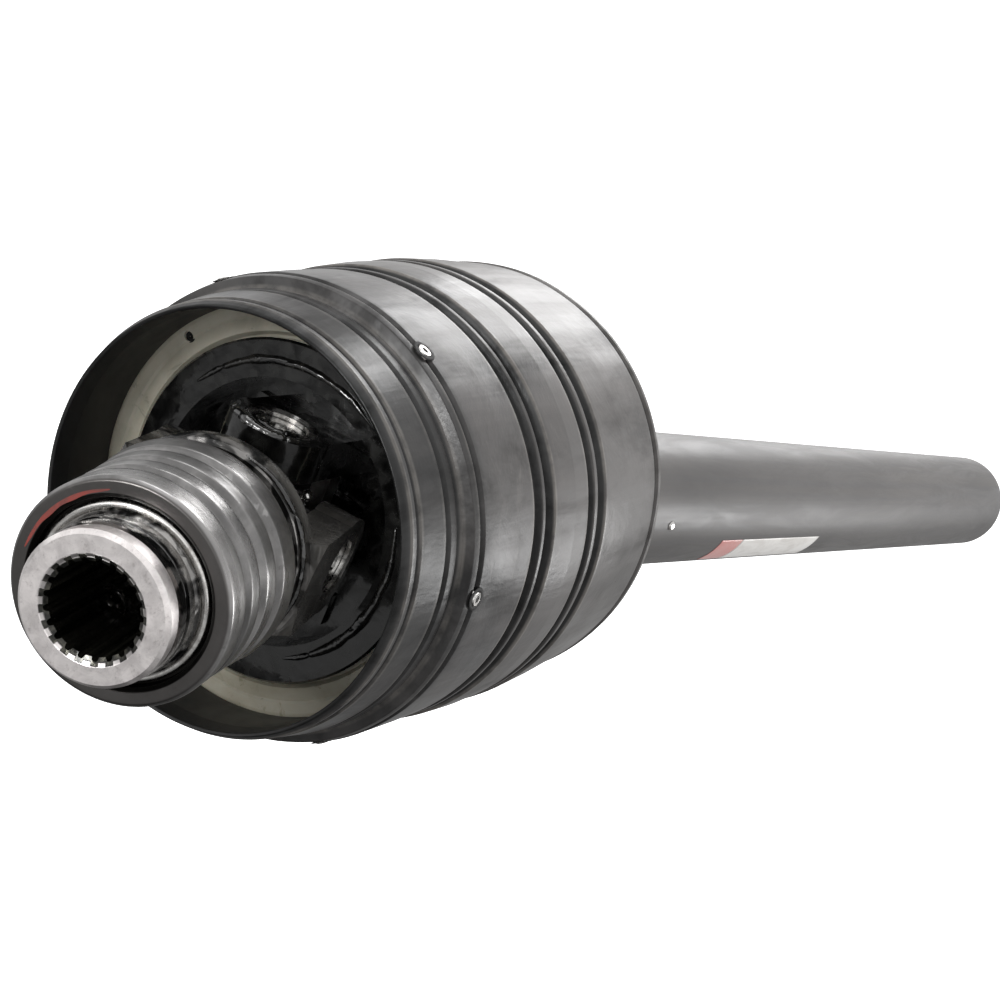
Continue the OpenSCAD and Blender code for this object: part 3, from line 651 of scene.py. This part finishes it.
screw_turns = [9 + 60 * i for i in range(6)]
# painted shade: a near-black ring lying on the bell round each screw stands for the counterbore's shadow
disc("bell_screw_shade_rings", [round_point(59.2, 97.95, a) for a in screw_turns], [round_point(9.5, 98, a) for a in screw_turns],
     3.0, 4.9, HOUSING, SHADE_BLACK, "bell_guard", finish="black_plastic")
disc("ring_hole_shade", [round_point(60.62, 82, 144.5)], [(1, 0, 0)], 0.3, 2.7, HOUSING, SHADE_BLACK, "bell_guard", 0.06, finish="nylon")


def grease_roll(name, points, radius, place, body, seed=1.0, around=14, **more):
    """A lumpy roll of thick grease along a path of local points in mm, tapering to both ends."""
    path = [Vector(p) for p in points]
    smooth = []
    for i in range(len(path) - 1):
        before, after = path[max(i - 1, 0)], path[min(i + 2, len(path) - 1)]
        for k in range(8):
            t = k / 8
            a, b = path[i], path[i + 1]
            smooth.append(0.5 * ((2 * a) + (b - before) * t + (2 * before - 5 * a + 4 * b - after) * t * t
                                 + (3 * a - before - 3 * b + after) * t ** 3))
    smooth.append(path[-1])
    verts, faces = [], []
    last = len(smooth) - 1
    for i, c in enumerate(smooth):
        ahead = (smooth[min(i + 1, last)] - smooth[max(i - 1, 0)]).normalized()
        side = ahead.orthogonal().normalized()
        across = ahead.cross(side)
        taper = max(0.06, math.sin(math.pi * (i + 0.25) / (last + 0.5)) ** 0.45)
        for j in range(around):
            a = 2 * math.pi * j / around
            out = side * math.cos(a) + across * math.sin(a)
            lump = 1 + 0.42 * noise.noise((c + out * radius) * 0.16 + Vector((seed, 0, 0))) + 0.15 * noise.noise(c * 0.5)
            verts.append(c + out * radius * taper * lump)
    for i in range(last):
        for j in range(around):
            q = (j + 1) % around
            faces.append((i * around + j, i * around + q, (i + 1) * around + q, (i + 1) * around + j))
    faces += [tuple(range(around)), tuple(last * around + j for j in range(around))]
    ob = mesh_piece(name, verts, faces, place, GREASE, body, finish="forged_steel", **more)
    ob.modifiers.new("soften", "SUBSURF").render_levels = 1
    return ob


def arc(x, r, a0, a1, n=7):
    return [round_point(x, r, a0 + (a1 - a0) * i / n) for i in range(n + 1)]


def boss_arc(x, z, r, a0, a1, n=6):
    """Points round the Z-axis boss of the centre housing's front ear."""
    return [(x + r * math.cos(math.radians(a0 + (a1 - a0) * i / n)), r * math.sin(math.radians(a0 + (a1 - a0) * i / n)), z)
            for i in range(n + 1)]


grease_roll("grease_housing_ear", boss_arc(80, 43.6, 18.5, -75, 60), 2.2, HOUSING, "housing", 3.1)
grease_roll("grease_housing_cup", boss_arc(80, 42.6, 9.5, -60, 95), 1.5, HOUSING, "housing", 5.7)
grease_roll("grease_housing_low", boss_arc(80, -43.6, 18.5, -60, 70), 2.2, HOUSING, "housing", 8.3)
grease_roll("grease_shell_front", arc(64.2, 63, 62, 148), 2.0, HOUSING, "housing", 2.2)
grease_roll("grease_shell_side", arc(64.2, 61, -58, 24), 2.2, HOUSING, "housing", 4.4)
grease_roll("grease_yoke_shoulder", arc(41.0, 40.6, -62, 84), 1.6, NOSE, "nose", 6.6)
grease_roll("grease_nose_neck", arc(107.6, 26.2, 20, 128), 1.0, NOSE, "nose", 9.1)
grease_roll("grease_nose_low", arc(108.2, 26.0, -95, -18), 0.9, NOSE, "nose", 1.9)


# ---------------------------------------------------------------- collar spring

def coil(name, x0, x1, turns, coil_r, wire_r, place, skin, body, around=16, per_turn=72, **more):
    """A wire spring along local X whose end turns lie flat. Sizes in mm."""
    steps = int(turns * per_turn)
    verts, faces = [], []
    for i in range(steps + 1):
        t = i / steps
        flat = 0.5 / turns
        rise = min(max((t - flat) / (1 - 2 * flat), 0.0), 1.0)
        rise = 0.86 * rise + 0.14 * t
        x = x0 + wire_r + (x1 - x0 - 2 * wire_r) * rise
        a = 2 * math.pi * turns * t
        for j in range(around):
            b = 2 * math.pi * j / around
            r = coil_r + wire_r * math.cos(b)
            verts.append((x + wire_r * math.sin(b), r * math.cos(a), r * math.sin(a)))
    for i in range(steps):
        for j in range(around):
            q = (j + 1) % around
            faces.append((i * around + j, i * around + q, (i + 1) * around + q, (i + 1) * around + j))
    faces += [tuple(range(around)), tuple(steps * around + j for j in range(around))]
    return mesh_piece(name, verts, faces, place, skin, body, **more)


spring = coil("collar_spring_coil", 45.3, 69.7, 4, 31.2, 1.45, NOSE, BARE, "nose", stands_for=["collar_spring"],
              finish="zinc_steel")
nose_axis = (NOSE.to_3x3() @ Vector((1, 0, 0))).normalized()
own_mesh(spring)


# ---------------------------------------------------------------- guard tube and label

tube_len = rear_cross_at[0] / MM
TUBE_PROFILE = [
    (-tube_len - 8, 37.2, 0.4), (-tube_len - 8, 40, 0.7), (-80, 40, 0.7), (-80, 37.2, 0.4),
]


def tube_sway(x, r, a):
    return r + 0.05 * np.cos(2 * a + 0.9 + x * 0.004) + 0.03 * np.cos(5 * a + x * 0.011)


turned("guard_tube_skin", divided(rounded(TUBE_PROFILE), 9), SHAFT, TUBE, "tube_guard", 240, sway=tube_sway,
       stands_for=["guard_tube"], finish="grey_plastic")
patch("label_white_part", -437, -324, -43, -11, 40.1, SHAFT, LABEL_WHITE, "tube_guard", 0.22,
      stands_for=["label"], finish="label_film")
patch("label_red_part", -324, -297, -43, -11, 40.1, SHAFT, LABEL_RED, "tube_guard", 0.22, finish="label_film")


# ---------------------------------------------------------------- light, floor and camera

def area(name, place, towards, size, power, size_y=None, colour=(1, 1, 1)):
    lamp = bpy.data.lights.new(name, "AREA")
    lamp.shape = "RECTANGLE"
    lamp.size, lamp.size_y = size, size_y or size
    lamp.energy = power
    lamp.color = colour
    ob = bpy.data.objects.new(name, lamp)
    ob.location = place
    ob.rotation_mode = "QUATERNION"
    ob.rotation_quaternion = (Vector(towards) - Vector(place)).to_track_quat("-Z", "Y")
    bpy.context.scene.collection.objects.link(ob)
    return ob


low, high = cad_box
ground = low.z - 0.3

world = bpy.data.worlds.new("studio")
bpy.context.scene.world = world
world.use_nodes = True
sky = world.node_tree
direction = sky.nodes.new("ShaderNodeTexCoord").outputs["Generated"]
height = sky.nodes.new("ShaderNodeSeparateXYZ")
sky.links.new(direction, height.inputs[0])
ramp = sky.nodes.new("ShaderNodeValToRGB")
lift = sky.nodes.new("ShaderNodeMath")
lift.operation = "MULTIPLY_ADD"
lift.inputs[1].default_value = lift.inputs[2].default_value = 0.5
sky.links.new(height.outputs[2], lift.inputs[0])
sky.links.new(lift.outputs[0], ramp.inputs[0])
steps = ramp.color_ramp.elements
for at, value in ((0.0, 0.02), (0.3, 0.03), (0.42, 0.10), (0.49, 0.72), (0.55, 0.95), (0.64, 0.85), (0.8, 0.50), (1.0, 0.45)):
    step = steps[0] if at == 0.0 else steps[1] if at == 1.0 else steps.new(at)
    step.color = (value, value, value, 1)
sky.links.new(ramp.outputs[0], sky.nodes["Background"].inputs[0])
sky.nodes["Background"].inputs[1].default_value = 1.25

joint = Vector(rear_cross_at)
area("back_soft", joint + Vector((-1.25, -0.62, 0.68)), joint, 0.8, 6.2, 0.6)
area("high_soft", joint + Vector((-0.85, -0.34, 1.15)), joint + Vector((0.05, 0, 0)), 0.42, 6.5)
area("top_soft", joint + Vector((0.25, -0.45, 1.5)), joint, 0.8, 6.0)
area("side_soft", joint + Vector((-1.05, 0.78, -0.03)), joint + Vector((0.0, 0.05, 0)), 0.7, 6.0, 0.35)
area("front_soft", joint + Vector((1.45, 0.1, 0.35)), joint + Vector((0.1, 0.05, 0)), 0.4, 9.0)

paper = Skin("floor_paper", (0.86, 0.86, 0.86), 0.9)
paper.shader.inputs["Emission Color"].default_value = (1, 1, 1, 1)
paper.shader.inputs["Emission Strength"].default_value = 0.8
grain = paper.noise(40, 4)
paper_skin = paper.done(paper.blend(paper.span(grain, 0.3, 0.7), (0.85, 0.85, 0.85), (0.87, 0.87, 0.87)))
bpy.ops.mesh.primitive_plane_add(size=60, location=(0.5, 0, ground))
floor = bpy.context.object
floor.name = "studio_floor"
floor.data.materials.append(paper_skin)
bpy.ops.mesh.primitive_uv_sphere_add(segments=64, ring_count=32, radius=28, location=(0.5, 0, ground))
backdrop = bpy.context.object
backdrop.name = "studio_backdrop"
backdrop.data.materials.append(paper_skin)
for sheet in (floor, backdrop):
    sheet.visible_diffuse = sheet.visible_glossy = sheet.visible_shadow = False

lens = bpy.data.cameras.new("camera")
lens.sensor_width = 36.0
lens.lens = 48.24
lens.clip_start, lens.clip_end = 0.01, 200.0
camera = bpy.data.objects.new("camera", lens)
bpy.context.scene.collection.objects.link(camera)
right = Vector((-0.6121, 0.6844, 0.3961)).normalized()
back = Vector((0.7907, 0.5316, 0.3034)).normalized()
up = back.cross(right).normalized()
right = up.cross(back).normalized()
view = Matrix((right, up, back)).transposed().to_4x4()
view.translation = Vector(rear_cross_at) + Vector((0.4395, 0.3717, 0.2100))
camera.matrix_world = view
bpy.context.scene.camera = camera
bpy.context.scene.view_settings.view_transform = "Standard"

bpy.context.view_layer.update()
